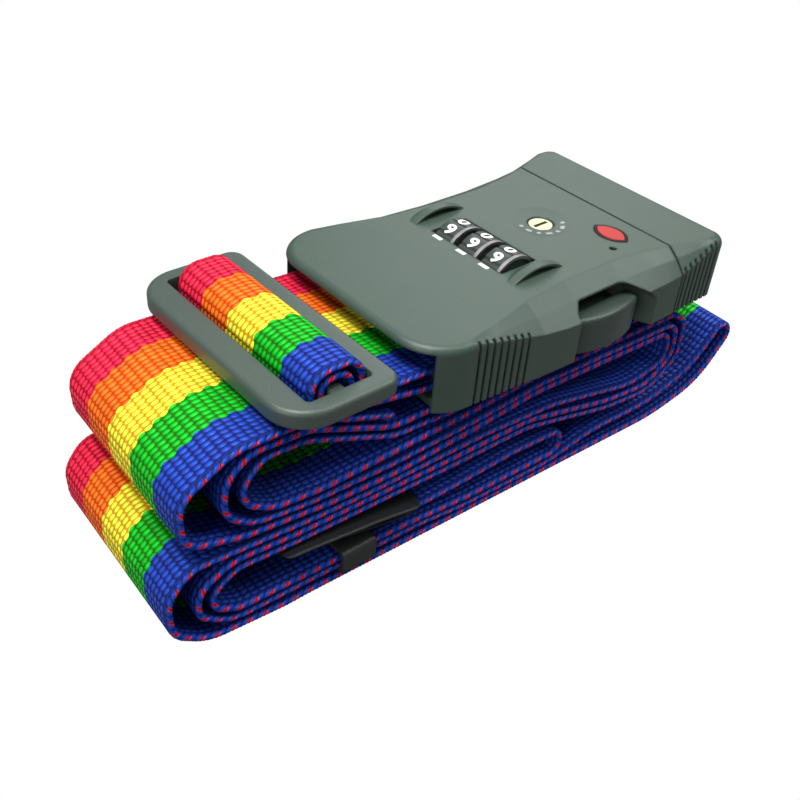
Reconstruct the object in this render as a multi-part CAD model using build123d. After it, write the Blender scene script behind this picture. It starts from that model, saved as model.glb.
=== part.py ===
from build123d import *
import os
from math import cos, sin, radians

# Luggage strap with a combination buckle, lying folded on a flat surface.
# Millimetres, +Z up, buckle along X. Shapes are drawn in a working frame and
# moved at the end so that the origin is under the middle of the whole strap.

# ---- webbing -------------------------------------------------------------
WEB_WIDTH = 50.0
WEB_T = 1.7
SEAM_GAP = 0.3

# ---- buckle housing ------------------------------------------------------
TOP_Z = 57.5
BASE_Z = 40.5
HOUSING_X0 = -33.5
SEAM_X = 49.3
PLUG_X1 = 67.6
CORNER_R = 12.0
EDGE_R = 1.8
WALL_TOP = 55.2
WORKS_X = (-17.0, 45.5)
WORKS_HALF = 21.0
SOCKET_Z = (42.3, 51.0)
# Half-width of the buckle at stations along X
HALF_WIDTHS = [(HOUSING_X0, 29.6), (8.0, 32.3), (45.0, 32.4), (PLUG_X1, 31.8)]
# Shoulder bevel: X station, half-width of the flat top, height where it meets the side
SHOULDER = [(-24.0, 29.5, 57.3), (-12.0, 27.3, 55.0), (0.0, 24.4, 52.4), (14.0, 23.1, 51.3),
            (30.0, 23.1, 51.2), (42.0, 24.6, 51.4), (49.6, 26.3, 51.8), (57.0, 28.8, 54.0),
            (64.5, 31.2, 57.1), (68.0, 31.4, 57.4)]
SHOULDER_SWELL = 0.08

# ---- webbing mouth and its pin -------------------------------------------
MOUTH_BACK = -20.0
MOUTH_HALF = 27.2
MOUTH_Z = (42.3, 55.9)
MOUTH_FLOOR_X = -28.0
WEB_PIN_X = -24.95
WEB_PIN_Z = 47.1
WEB_PIN_R = 1.5
WEB_PIN_HALF = 28.2

# ---- number wheels -------------------------------------------------------
WHEEL_X = 9.5
WHEEL_Z = 52.2
WHEEL_R = 7.5
WHEEL_PITCH = 8.25
WHEEL_WIDTH = 6.0
WHEEL_WELL_R = 7.8
WELL_HALF = 12.6
CHEEK_T = 2.0
CHEEK_HALF = 4.0
CHEEK_Z = 47.5
SPINDLE_R = 1.5
SPINDLE_HALF = 14.5
RUN_CLEAR = 0.05
RING_R = (6.7, 7.5)
RING_T = 0.6
RING_PROUD = 0.35
SLEEVE_R = 3.4
SLEEVE_T = 1.2
FLAT_R = 0.45
HUB_GATE = (0.8, 2.4)
SPRING_Z = (43.2, 43.6)
SPRING_X = (0.5, 6.1)
SPRING_HALF = 12.0
SPRING_TAB_TOP = 46.4
FINGER_X = (5.9, 12.0)
FINGER_HALF = 2.0
FIRST_DIGIT_ANGLE = 16.0
DIGITS = 10

# ---- arched guards at the ends of the wheel row ----------------------------
GUARD_X = 10.6
GUARD_CHORD = 16.6
GUARD_RISE = 2.4
GUARD_FACES = [-18.2, 16.9]
GUARD_RIDGE = 2.3
GUARD_SLOPE = 3.3
GUARD_POCKET = 1.8
GUARD_RIM = 0.6

# ---- key cylinder ----------------------------------------------------------
KEY_X = 30.8
KEY_Y = 0.6
KEY_R = 3.5
KEY_DISH_R = 8.0
KEY_DISH_DEPTH = 0.6
KEY_Z = (47.0, 56.8)
KEY_CHAMFER = 0.4
KEYWAY = (2.3, 0.5)
KEYWAY_FLOOR = 50.0
KEY_BOSS_WALL = 2.0
KEY_BOSS_Z = 48.0
CAM_R = 4.6
CAM_Z = (45.6, 47.0)
CAM_REACH = 7.5
CAM_HALF = 1.6

# ---- indicator, reset pin, cover screws and index marks ----------------------
BADGE_X = 41.5
BADGE_Y = -13.8
BADGE_LONG = 9.0
BADGE_SHORT = 5.4
PIN_X = 36.0
PIN_Y = -19.3
PIN_R = 0.9
PIN_Z = (51.2, 56.8)
SCREWS = [(-15.0, -18.0), (-15.0, 18.0), (6.0, -19.4), (6.0, 19.4)]
SCREW_R = 1.1
SCREW_HEAD_R = 1.8
SCREW_TOP = 44.8
COVER_HALF = 23.5
COVER_TOP = 42.0
WHEEL_YS = [WHEEL_PITCH, 0.0, -WHEEL_PITCH]

# ---- release buttons -------------------------------------------------------
BUTTON_X = (13.0, 34.0)
BUTTON_Z = (41.2, 50.7)
BUTTON_OUT = 32.9
BUTTON_CROWN = 2.1
BUTTON_BACK = 26.6
BUTTON_TRAVEL = 2.2
BUTTON_EDGE_R = 1.3
FOOT_X = (16.8, 30.2)
FOOT_Z = (43.6, 49.4)
FOOT_BACK = 22.6
# Recess outlines (X, Z) at its back wall and outside the housing's side
RECESS_BACK_Y = 24.0
RECESS_FRONT_Y = 36.0
RECESS_RADII = [1.6, 1.6, 8.0, 3.0, 3.0]
RECESS_BACK = [(12.3, 39.0), (12.4, 52.6), (14.2, 54.4), (29.5, 54.4), (34.8, 51.7), (36.0, 50.0),
               (36.0, 39.0)]
RECESS_FRONT = [(11.3, 39.0), (11.6, 52.6), (14.0, 54.6), (31.0, 54.6), (38.5, 50.4), (42.0, 47.5),
                (42.0, 39.0)]

# ---- plug ------------------------------------------------------------------
PLUG_GAP = 0.6
PLUG_BAR_X = 60.5
PLUG_BAR_Z = 44.0
PLUG_BAR_R = 1.75
PLUG_BAR_HALF = 28.3
PLUG_CORNER_R = 4.0
PLUG_EDGE_R = 2.6
PLUG_ROOM_X = (53.4, 66.4)
PLUG_ROOM_HALF = 26.2
YOKE_X1 = SEAM_X + PLUG_GAP + 3.0
ARM_X = 22.0
ARM_Y = (14.0, 17.6)
ARM_Z = (43.4, 49.8)
BARB_Y = 20.2
TONGUE_Z = (42.6, 45.0)
TONGUE_X = 24.0
TONGUE_HALF = 6.0
BARB_BACK_Y = 17.0
BARB_X = (27.0, 32.0)

# ---- slider ----------------------------------------------------------------
SLIDER_X = (-69.0, -41.5)
SLIDER_HALF = 31.0
SLIDER_Z = (53.6, 58.0)
SLIDER_WINDOW_X = (-62.6, -46.2)
SLIDER_WINDOW_Y = 27.0
SLIDER_BAR_X = (-56.3, -52.5)
SLIDER_BAR_Z = (54.5, 57.0)
SLIDER_CORNERS = (9.5, 3.5)
SLIDER_EDGE_R = (1.2, 0.8)
SLIDER_BAR_R = 0.7

# Webbing centreline in the X-Z plane: corner X, corner Z, bend radius.
ROUTE = [
    (-38.0, 42.1, 0.0), (-50.5, 46.8, 14.0), (-57.7, 50.6, 2.2), (-57.7, 59.2, 3.0),
    (-50.0, 59.2, 3.4), (-50.0, 49.2, 3.0), (-22.5, 44.0, 2.42), (-22.5, 49.5, 2.42),
    (-47.4, 50.7, 2.5), (-47.4, 61.4, 4.5), (-60.0, 61.4, 4.5), (-60.0, 51.0, 1.6),
    (-78.0, 51.4, 12.0), (-90.5, 44.5, 7.0), (-90.0, 32.5, 6.0), (-76.0, 28.0, 25.0),
    (-56.0, 25.5, 60.0), (-36.0, 25.3, 60.0), (-12.0, 27.7, 60.0), (6.0, 30.1, 40.0),
    (57.6, 29.8, 4.5), (57.2, 20.0, 4.0), (44.0, 17.2, 20.0), (14.0, 23.2, 30.0),
    (-8.0, 24.1, 60.0), (-45.0, 23.0, 80.0), (-60.0, 23.3, 60.0), (-89.5, 26.0, 7.0),
    (-94.6, 19.5, 7.0), (-94.3, 9.5, 8.0), (-86.0, 3.0, 14.0), (-66.0, 0.85, 40.0),
    (58.0, 0.85, 60.0), (77.0, 5.2, 22.0), (88.6, 20.2, 3.9), (81.8, 23.6, 3.4),
    (72.0, 12.0, 25.0), (55.0, 6.7, 40.0), (32.0, 6.6, 50.0), (16.0, 3.0, 40.0),
    (-14.0, 3.0, 60.0), (-28.0, 4.35, 60.0), (-60.0, 4.35, 50.0), (-80.0, 5.0, 12.0),
    (-88.0, 11.0, 5.0), (-87.5, 18.5, 6.0), (-79.0, 22.6, 12.0), (-62.0, 20.9, 40.0),
    (-20.0, 21.1, 80.0), (6.0, 21.6, 30.0), (36.0, 15.0, 40.0), (52.0, 13.9, 10.0),
    (60.6, 20.5, 6.0), (59.6, 31.9, 5.0), (8.0, 32.3, 40.0), (-14.0, 30.0, 60.0),
    (-38.0, 28.5, 60.0), (-60.0, 28.4, 40.0), (-73.5, 30.3, 12.0), (-80.8, 35.5, 7.0),
    (-80.0, 44.8, 7.0), (-74.0, 49.3, 7.0), (-60.0, 48.5, 12.0), (-37.5, 38.5, 20.0),
    (54.0, 38.6, 4.0), (57.8, 42.0, 3.0), (57.8, 46.7, 2.65), (63.2, 46.7, 2.65),
    (63.2, 42.0, 2.5), (69.8, 38.6, 1.3), (69.4, 35.5, 1.3), (44.0, 36.5, 60.0),
    (6.0, 36.45, 60.0), (-20.0, 35.5, 60.0), (-37.5, 36.1, 18.0), (-61.0, 46.2, 12.0),
    (-71.5, 46.7, 6.0), (-76.3, 41.5, 5.5), (-75.8, 36.2, 5.2), (-68.5, 31.9, 8.0),
    (-57.0, 30.7, 40.0), (-28.0, 32.6, 80.0), (4.0, 34.4, 60.0), (62.6, 33.9, 5.5),
    (63.0, 19.0, 7.0), (53.0, 11.6, 12.0), (36.0, 12.8, 40.0), (6.0, 19.4, 30.0),
    (-20.0, 18.9, 80.0), (-62.0, 18.7, 40.0), (-78.5, 20.0, 7.0), (-85.0, 15.5, 4.2),
    (-83.8, 10.8, 4.2), (-78.0, 7.5, 8.0), (-60.0, 6.55, 40.0), (-34.0, 6.55, 60.0),
    (-12.0, 5.2, 60.0), (20.2, 5.5, 3.1), (18.6, 12.6, 2.8), (2.0, 13.0, 40.0),
    (-14.0, 11.7, 60.0), (-30.0, 10.9, 20.0), (-41.0, 12.9, 0.0)]

# Webbing pieces: name, first and last run of the route, counted from its corners.
WEB_PIECES = [
    ("webbing_root_loop", 0, 5), ("webbing_buckle_loop", 5, 8), ("webbing_slider_arch", 8, 11),
    ("webbing_coil_a", 11, 16), ("webbing_span_a", 16, 19), ("webbing_fold_a", 19, 22),
    ("webbing_span_d", 22, 25), ("webbing_coil_d", 25, 31), ("webbing_floor_span", 31, 32),
    ("webbing_fold_d", 32, 37), ("webbing_span_e", 37, 41), ("webbing_coil_e", 41, 47),
    ("webbing_span_f", 47, 50), ("webbing_fold_b", 50, 53), ("webbing_span_b", 53, 56),
    ("webbing_coil_b", 56, 63), ("webbing_plug_loop", 63, 71), ("webbing_span_c", 71, 74),
    ("webbing_coil_c", 74, 80), ("webbing_span_g", 80, 82), ("webbing_fold_c", 82, 86),
    ("webbing_span_h", 86, 89), ("webbing_coil_g", 89, 94), ("webbing_span_k", 94, 96),
    ("webbing_fold_tail", 96, 98), ("webbing_free_tail", 98, 102)]
PLUG_LOOP_X = (51.0, 50.6)

# ---- tag sleeve and keeper -------------------------------------------------
TAG_HALF = 24.0
TAG_T = 0.5
TAG_UPPER = [(-29.0, 12.75, 0.0), (-42.0, 14.9, 30.0), (-68.0, 17.4, 0.0)]
TAG_LOWER = [(-29.0, 9.4, 0.0), (-41.0, 11.1, 30.0), (-68.0, 16.6, 0.0)]
KEEPER_X = (-51.5, -42.0)
KEEPER_Z = (2.15, 8.75)
KEEPER_WALL = 1.1
KEEPER_HALF = 26.6


def block(x, y, z):
    """Box from three (low, high) pairs."""
    size = Box(x[1] - x[0], y[1] - y[0], z[1] - z[0])
    return Pos((x[0] + x[1]) / 2, (y[0] + y[1]) / 2, (z[0] + z[1]) / 2) * size


def rod_y(x, z, radius, y0, y1):
    """Cylinder along Y."""
    return Pos(x, (y0 + y1) / 2, z) * Rot(90, 0, 0) * Cylinder(radius, y1 - y0)


def rod_z(x, y, radius, z0, z1):
    """Cylinder along Z."""
    return Pos(x, y, (z0 + z1) / 2) * Cylinder(radius, z1 - z0)


def side_offsets(points, distance):
    """Corners of the line at a distance to the left of a cornered line."""
    moved = []
    last = len(points) - 1
    for i, (x, z) in enumerate(points):
        before = Vector(x - points[i - 1][0], z - points[i - 1][1]) if i > 0 else None
        after = Vector(points[i + 1][0] - x, points[i + 1][1] - z) if i < last else None
        a = (before or after).normalized()
        b = (after or before).normalized()
        mid = (a + b).normalized()
        reach = distance / (mid.X * a.X + mid.Y * a.Y)
        moved.append((x - mid.Y * reach, z + mid.X * reach))
    return moved


def turn(points, i):
    """Sign of the bend at a corner, positive to the left."""
    ax, az = points[i][0] - points[i - 1][0], points[i][1] - points[i - 1][1]
    bx, bz = points[i + 1][0] - points[i][0], points[i + 1][1] - points[i][1]
    return 1.0 if ax * bz - az * bx > 0 else -1.0


def band(route, thickness, half_width):
    """Strip of even thickness that follows a filleted route in the X-Z plane."""
    points = [(x, z) for x, z, r in route]
    inner = range(1, len(route) - 1)
    half = thickness / 2
    edges = []
    for side in (half, -half):
        corners = side_offsets(points, side)
        bends = [route[i][2] - side * turn(points, i) for i in inner]
        if bends:
            edges.append(FilletPolyline(*corners, radius=bends))
        else:
            edges.append(Polyline(*corners))
    left, right = edges
    ends = [Line(left @ 0, right @ 0), Line(left @ 1, right @ 1)]
    face = make_face(left.edges() + right.edges() + ends[0].edges() + ends[1].edges())
    return extrude(Plane.XZ * face, amount=half_width, both=True)


def run_point(run, share=0.5):
    """Point part of the way along one run of the route."""
    x0, z0, r0 = ROUTE[run]
    x1, z1, r1 = ROUTE[run + 1]
    return (x0 + (x1 - x0) * share, z0 + (z1 - z0) * share, 0.0)


def run_at_x(run, x):
    """Point of one run at a given X."""
    x0, z0, r0 = ROUTE[run]
    x1, z1, r1 = ROUTE[run + 1]
    return run_point(run, (x - x0) / (x1 - x0))


def web_route(name, first, last):
    """Corners of one webbing piece, cut square across its end runs."""
    start = ROUTE[0] if first == 0 else run_point(first)
    end = ROUTE[-1] if last >= len(ROUTE) - 2 else run_point(last)
    if name == "webbing_plug_loop":
        start = run_at_x(first, PLUG_LOOP_X[0])
        end = run_at_x(70, PLUG_LOOP_X[1])
        return [start] + ROUTE[first + 1:71] + [end]
    if name == "webbing_coil_b":
        end = run_at_x(last, PLUG_LOOP_X[0] - SEAM_GAP)
    if name == "webbing_span_c":
        start = run_at_x(70, PLUG_LOOP_X[1] - SEAM_GAP)
        return [start] + ROUTE[71:last + 1] + [end]
    stop = last + 1 if last < len(ROUTE) - 2 else len(ROUTE) - 1
    return [start] + ROUTE[first + 1:stop] + [end]


def half_at(x):
    """Half-width of the buckle, which swells gently towards its middle."""
    for (x0, half0), (x1, half1) in zip(HALF_WIDTHS, HALF_WIDTHS[1:]):
        if x <= x1:
            break
    return half0 + (half1 - half0) * (x - x0) / (x1 - x0)


def beveled(y_sign):
    """Wedge that cuts the sloping, slightly swollen shoulder along one side of the buckle."""
    above = TOP_Z + 2
    sections = []
    for x, top_half, side_z in SHOULDER:
        half = half_at(x)
        drop = TOP_Z - side_z
        mid = ((half + top_half) / 2, side_z + drop * (0.5 + SHOULDER_SWELL))
        upper = (TOP_Z - mid[1]) / (mid[0] - top_half)
        lower = (mid[1] - side_z) / (half - mid[0])
        outline = [(top_half - 2 / upper, above), (half + 3, above), (half + 3, side_z - 3 * lower), mid]
        corners = [(x, y_sign * y, z) for y, z in outline]
        sections.append(make_face(Polyline(*corners, close=True).edges()))
    return loft(sections, ruled=True)


def buckle_blank(x_seam, x_end, corner_r, edge_r):
    """Slab from the seam to one rounded end, with both shoulders cut."""
    low, high = sorted((x_seam, x_end))
    stations = [low] + [x for x, half in HALF_WIDTHS if low < x < high] + [high]
    far_side = [(x, half_at(x)) for x in stations]
    near_side = [(x, -half) for x, half in reversed(far_side)]
    face = make_face(Polyline(*far_side, *near_side, close=True).edges())
    ends = [v for v in face.vertices() if abs(v.X - x_end) < EDGE_R]
    face = fillet(ends, corner_r)
    slab = Pos(0, 0, BASE_Z) * extrude(face, amount=TOP_Z - BASE_Z)
    top = slab.edges().group_by(Axis.Z)[-1]
    rim = [edge for edge in top if abs(edge.center().X - x_seam) > EDGE_R]
    slab = fillet(rim, edge_r)
    return slab - beveled(1) - beveled(-1)


def guard(face_y):
    """Arched ridge at one end of the wheel row, with a pocket in its near face."""
    radius = ((GUARD_CHORD / 2) ** 2 + GUARD_RISE ** 2) / (2 * GUARD_RISE)
    centre_z = TOP_Z + GUARD_RISE - radius
    low_r = TOP_Z - 0.2 - centre_z
    ridge_y = face_y + GUARD_RIDGE
    ridge = rod_y(GUARD_X, centre_z, radius, face_y, ridge_y)
    slope = Pos(GUARD_X, ridge_y + GUARD_SLOPE / 2, centre_z) * Rot(-90, 0, 0)
    slope = slope * Cone(radius, low_r, GUARD_SLOPE)
    pocket = rod_y(GUARD_X, centre_z, radius - GUARD_RIM, face_y - 1, face_y + GUARD_POCKET)
    above = block((GUARD_X - GUARD_CHORD, GUARD_X + GUARD_CHORD), (face_y - 2, face_y + 8),
                  (TOP_Z - 0.4, TOP_Z + 2 * GUARD_RISE))
    return ((ridge + slope) & above) - (pocket & above.moved(Location((0, 0, 0.5))))


def recess(y_sign):
    """Pocket in the housing side round one release button, open below."""
    faces = []
    for y, corners in ((RECESS_BACK_Y, RECESS_BACK), (RECESS_FRONT_Y, RECESS_FRONT)):
        rounded = FilletPolyline(*corners, radius=RECESS_RADII)
        sill = Line(rounded @ 1, rounded @ 0)
        face = make_face(rounded.edges() + sill.edges())
        faces.append(Pos(0, y_sign * y, 0) * (Plane.XZ * face))
    return loft(faces, ruled=True)


def button_window(y_sign):
    """Hole through the pocket's back wall for the button's foot."""
    y = sorted((y_sign * (WORKS_HALF - 1), y_sign * (RECESS_BACK_Y + 1)))
    clear = 0.3
    return block((FOOT_X[0] - clear, FOOT_X[1] + clear), y, (FOOT_Z[0] - clear, FOOT_Z[1] + clear))


def grip_grooves(first_x, pitch, count, width, depth):
    """Upright grooves cut into both sides of the buckle."""
    cuts = []
    for i in range(count):
        x = first_x + i * pitch
        half = half_at(x)
        for y_sign in (-1, 1):
            y = sorted((y_sign * (half - depth), y_sign * (half + 2)))
            cuts.append(block((x, x + width), y, (BASE_Z - 1, TOP_Z + 1)))
    return Compound(children=cuts)


def works_cavity():
    """Room inside the housing for the lock works, open below."""
    x0, x1 = WORKS_X
    works = block((x0, x1), (-WORKS_HALF, WORKS_HALF), (BASE_Z - 1, WALL_TOP))
    works += block((x1 - 0.5, SEAM_X + 1), (-WORKS_HALF, WORKS_HALF), SOCKET_Z)
    return works + block((x0 - 2, x1 + 1.5), (-COVER_HALF, COVER_HALF), (BASE_Z - 1, COVER_TOP))


def webbing_mouth():
    """Slot at the housing's left end that the webbing enters, with its floor set back."""
    y = (-MOUTH_HALF, MOUTH_HALF)
    mouth = block((HOUSING_X0 - 1, MOUTH_BACK), y, MOUTH_Z)
    mouth = fillet(mouth.edges().filter_by(Axis.Y).sort_by(Axis.X)[-2:], 3.0)
    return mouth + block((HOUSING_X0 - 1, MOUTH_FLOOR_X), y, (BASE_Z - 1, MOUTH_Z[0] + 1))


def wheel_well(shell):
    """Cuts the wheels' well and adds the two cheeks that hold the spindle."""
    shell -= rod_y(WHEEL_X, WHEEL_Z, WHEEL_WELL_R, -WELL_HALF, WELL_HALF)
    for y_sign in (-1, 1):
        y = sorted((y_sign * WELL_HALF, y_sign * (WELL_HALF + CHEEK_T)))
        cheek = block((WHEEL_X - CHEEK_HALF, WHEEL_X + CHEEK_HALF), y, (CHEEK_Z, WALL_TOP + 0.2))
        shell += cheek - rod_y(WHEEL_X, WHEEL_Z, SPINDLE_R, -SPINDLE_HALF - 5, SPINDLE_HALF + 5)
    return shell


def key_and_pin_bosses(shell):
    """Dished key boss and the small boss of the reset pin."""
    dish_r = (KEY_DISH_R ** 2 + KEY_DISH_DEPTH ** 2) / (2 * KEY_DISH_DEPTH)
    shell -= Pos(KEY_X, KEY_Y, TOP_Z - KEY_DISH_DEPTH + dish_r) * Sphere(dish_r)
    shell += rod_z(KEY_X, KEY_Y, KEY_R + KEY_BOSS_WALL, KEY_BOSS_Z, WALL_TOP + 0.4)
    shell -= rod_z(KEY_X, KEY_Y, KEY_R + RUN_CLEAR, KEY_BOSS_Z - 1, TOP_Z + 1)
    shell += rod_z(PIN_X, PIN_Y, PIN_R + 0.5, PIN_Z[0], WALL_TOP + 0.4)
    return shell - rod_z(PIN_X, PIN_Y, PIN_R + RUN_CLEAR, PIN_Z[0] - 5, TOP_Z + 1)


def female_housing():
    """One-piece shell of the lock: mouth at the left, plug socket at the right."""
    shell = buckle_blank(SEAM_X, HOUSING_X0, CORNER_R, EDGE_R)
    for face_y in GUARD_FACES:
        shell += guard(face_y)
    shell -= grip_grooves(-20.0, 2.1, 8, 0.8, 0.9)
    shell -= recess(1)
    shell -= recess(-1)
    shell -= webbing_mouth()
    shell -= works_cavity()
    shell -= rod_y(WEB_PIN_X, WEB_PIN_Z, WEB_PIN_R, -WEB_PIN_HALF - 0.2, WEB_PIN_HALF + 0.2)
    shell -= button_window(1)
    shell -= button_window(-1)
    shell = wheel_well(shell)
    shell = key_and_pin_bosses(shell)
    shell -= badge_outline(0.9, TOP_Z - 0.8, TOP_Z + 1)
    for x, y in SCREWS:
        shell += rod_z(x, y, 2.2, COVER_TOP, 46.0)
        shell -= rod_z(x, y, SCREW_R, BASE_Z, 45.0)
    return shell


def badge_outline(margin, z0, z1):
    """Pointed oval prism of the indicator."""
    reach = BADGE_LONG / 2 + margin
    half = BADGE_SHORT / 2 + margin
    upper = ThreePointArc((0, -reach), (half, 0), (0, reach))
    lower = ThreePointArc((0, -reach), (-half, 0), (0, reach))
    face = make_face(upper.edges() + lower.edges())
    return Pos(BADGE_X, BADGE_Y, z0) * extrude(face, amount=z1 - z0)


def bottom_cover():
    """Plate that closes the works from below, with four countersunk holes."""
    x = (WORKS_X[0] - 1.8, WORKS_X[1] + 1.3)
    plate = block(x, (0.2 - COVER_HALF, COVER_HALF - 0.2), (BASE_Z, COVER_TOP - 0.05))
    for x, y in SCREWS:
        plate -= rod_z(x, y, SCREW_HEAD_R + 0.05, BASE_Z - 1, BASE_Z + 0.8)
        plate -= rod_z(x, y, SCREW_R + 0.05, BASE_Z - 1, BASE_Z + 3)
    return plate


def cover_screw(x, y):
    """Pan-head screw with a cross slot."""
    head = rod_z(x, y, SCREW_HEAD_R, BASE_Z, BASE_Z + 0.75)
    shank = rod_z(x, y, SCREW_R, BASE_Z + 0.7, SCREW_TOP)
    slot = block((x - 1.1, x + 1.1), (y - 0.2, y + 0.2), (BASE_Z - 1, BASE_Z + 0.4))
    cross = block((x - 0.2, x + 0.2), (y - 1.1, y + 1.1), (BASE_Z - 1, BASE_Z + 0.4))
    return head + shank - slot - cross


def number_wheel(y):
    """Wheel with ten shallow flats for the digits and a hub bore."""
    half = WHEEL_WIDTH / 2
    wheel = rod_y(WHEEL_X, WHEEL_Z, WHEEL_R, y - half, y + half)
    for i in range(DIGITS):
        a = radians(360 / DIGITS * (i + 0.5) + FIRST_DIGIT_ANGLE)
        x = WHEEL_X + (WHEEL_R + 0.1) * sin(a)
        z = WHEEL_Z + (WHEEL_R + 0.1) * cos(a)
        wheel -= rod_y(x, z, FLAT_R, y - half - 1, y + half + 1)
    groove = rod_y(WHEEL_X, WHEEL_Z, RING_R[1] + 1, y - half - 1, y - half + RING_T)
    wheel -= groove - rod_y(WHEEL_X, WHEEL_Z, RING_R[0], y - half - 2, y + half)
    return wheel - rod_y(WHEEL_X, WHEEL_Z, SPINDLE_R + RUN_CLEAR, y - half - 1, y + half + 1)


def wheel_ring(y):
    """Bright trim ring let into the near face of a wheel."""
    face_y = y - WHEEL_WIDTH / 2
    ring = rod_y(WHEEL_X, WHEEL_Z, RING_R[1], face_y - RING_PROUD, face_y + RING_T)
    return ring - rod_y(WHEEL_X, WHEEL_Z, RING_R[0], face_y - 1, face_y + 1)


def wheel_sleeve(y):
    """Coded hub between two wheels, with the gate that lets the lock open."""
    y0 = y + WHEEL_WIDTH / 2
    hub = rod_y(WHEEL_X, WHEEL_Z, SLEEVE_R, y0, y0 + SLEEVE_T)
    half, floor = HUB_GATE
    gate = block((WHEEL_X - half, WHEEL_X + half), (y0 - 1, y0 + 2),
                 (WHEEL_Z - SLEEVE_R - 1, WHEEL_Z - floor))
    return hub - gate - rod_y(WHEEL_X, WHEEL_Z, SPINDLE_R + RUN_CLEAR, y0 - 1, y0 + 2)


def detent_spring():
    """Bent strip under the wheels with a finger for each."""
    across = (-SPRING_HALF, SPRING_HALF)
    strip = block(SPRING_X, across, SPRING_Z)
    for y in WHEEL_YS:
        strip += block(FINGER_X, (y - FINGER_HALF, y + FINGER_HALF), SPRING_Z)
    return strip + block((SPRING_X[0], SPRING_X[0] + 0.6), across, (SPRING_Z[0], SPRING_TAB_TOP))


def key_plug():
    """Turning core of the key cylinder with its keyway."""
    half_x, half_y = KEYWAY
    core = rod_z(KEY_X, KEY_Y, KEY_R, *KEY_Z)
    core = chamfer(core.edges().group_by(Axis.Z)[-1], KEY_CHAMFER)
    keyway = block((KEY_X - half_x, KEY_X + half_x), (KEY_Y - half_y, KEY_Y + half_y),
                   (KEYWAY_FLOOR, TOP_Z))
    return core - keyway


def key_cam():
    """Tailpiece under the key core."""
    disc = rod_z(KEY_X, KEY_Y, CAM_R, *CAM_Z)
    return disc + block((KEY_X, KEY_X + CAM_REACH), (KEY_Y - CAM_HALF, KEY_Y + CAM_HALF), CAM_Z)


def release_button(y_sign):
    """Convex side button with a rounded top edge and a foot into the works."""
    x0, x1 = BUTTON_X
    z0, z1 = BUTTON_Z
    end_y = BUTTON_CROWN - BUTTON_OUT
    crown = ThreePointArc((x0, end_y), ((x0 + x1) / 2, -BUTTON_OUT), (x1, end_y))
    sides = Polyline((x1, end_y), (x1, -BUTTON_BACK), (x0, -BUTTON_BACK), (x0, end_y))
    face = make_face(crown.edges() + sides.edges())
    pad = Pos(0, 0, z0) * extrude(face, amount=z1 - z0)
    pad = fillet(pad.edges().group_by(Axis.Z)[-1], BUTTON_EDGE_R)
    button = pad + block(FOOT_X, (-BUTTON_BACK - 1, -FOOT_BACK), FOOT_Z)
    return button if y_sign < 0 else mirror(button, Plane.XZ)


def badge_frame():
    """Dark surround of the indicator."""
    frame = badge_outline(0.8, TOP_Z - 0.75, TOP_Z + 0.1)
    return frame - badge_outline(0.05, TOP_Z - 1, TOP_Z + 1)


def badge_inlay():
    """Red indicator lens, slightly domed."""
    lens = badge_outline(0.0, TOP_Z - 0.75, TOP_Z + 0.25)
    return fillet(lens.edges().group_by(Axis.Z)[-1], 0.2)


def reset_pin():
    """Small headed pin that sets a new code."""
    return rod_z(PIN_X, PIN_Y, PIN_R, *PIN_Z)


def plug_cap():
    """End cap of the plug, hollow below for the webbing and its bar."""
    cap = buckle_blank(SEAM_X + PLUG_GAP, PLUG_X1, PLUG_CORNER_R, PLUG_EDGE_R)
    cap -= grip_grooves(50.6, 1.95, 7, 0.8, 0.9)
    cap -= block((SEAM_X, YOKE_X1), (-ARM_Y[1], ARM_Y[1]), (TONGUE_Z[0], ARM_Z[1]))
    cap -= block(PLUG_ROOM_X, (-PLUG_ROOM_HALF, PLUG_ROOM_HALF), (BASE_Z - 1, 52.0))
    cap -= block((PLUG_ROOM_X[1] - 0.4, PLUG_X1 + 1), (-PLUG_ROOM_HALF, PLUG_ROOM_HALF),
                 (BASE_Z - 1, 43.2))
    return cap - rod_y(PLUG_BAR_X, PLUG_BAR_Z, PLUG_BAR_R, -PLUG_BAR_HALF - 0.2, PLUG_BAR_HALF + 0.2)


def plug_tongue():
    """Centre guide and two latch arms that enter the housing."""
    tongue = block((TONGUE_X, YOKE_X1), (-TONGUE_HALF, TONGUE_HALF), TONGUE_Z)
    for y_sign in (-1, 1):
        y = sorted((y_sign * ARM_Y[0], y_sign * ARM_Y[1]))
        tongue += block((ARM_X, YOKE_X1), y, ARM_Z)
        barb = Polyline((ARM_X, y_sign * BARB_BACK_Y), (BARB_X[1], y_sign * BARB_BACK_Y),
                        (BARB_X[1], y_sign * BARB_Y), (BARB_X[0], y_sign * BARB_Y), close=True)
        tongue += Pos(0, 0, ARM_Z[0]) * extrude(make_face(barb.edges()), amount=ARM_Z[1] - ARM_Z[0])
    yoke = block((SEAM_X + PLUG_GAP, YOKE_X1), (-ARM_Y[1], ARM_Y[1]), (TONGUE_Z[0], ARM_Z[1]))
    return tongue + yoke


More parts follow.
